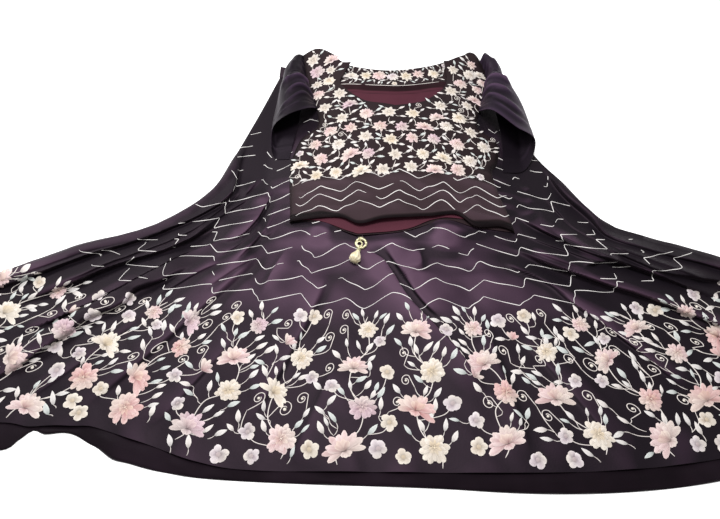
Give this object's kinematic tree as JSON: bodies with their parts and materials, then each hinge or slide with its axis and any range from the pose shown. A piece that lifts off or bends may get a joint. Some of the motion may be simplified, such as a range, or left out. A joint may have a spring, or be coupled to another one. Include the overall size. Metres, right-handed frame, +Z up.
{
  "type": "lehenga choli laid flat",
  "caption": "Two-piece lehenga choli laid flat: a very full flared skirt spread as a fan, with a scoop-necked, short-sleeved choli laid over its waist and a tasselled drawstring.",
  "frame": {"origin": "under the middle of the laid-out garment, on the surface that it lies on", "axes": "+X across the garment along its widest reach, +Y from the skirt's hem towards its waist, +Z up from the surface"},
  "size_m": [1.9, 0.991, 0.0764],
  "materials": {
    "georgette": "soft satin sheen, dark plum georgette",
    "waist_cloth": "matte plum cotton casing",
    "lining": "maroon satin lining",
    "cord": "twisted plum cord",
    "gold": "polished gold-tone metal",
    "ivory": "ivory pearl-like drop",
    "thread_pink": "matte pink embroidery thread",
    "thread_cream": "cream embroidery thread",
    "thread_pale": "off-white silky thread"
  },
  "bodies": {
    "root": {"skirt_back": "georgette", "skirt_gathers": "georgette", "skirt_front": "georgette", "waistband_back": "waist_cloth", "waistband_front": "waist_cloth", "drawstring": "cord", "tassel_ring": "gold", "tassel_drop": "ivory", "choli_back": "georgette", "choli_lining": "lining", "choli_front": "georgette", "sleeve_left": "georgette", "sleeve_right": "georgette"}
  },
  "joints": []
}
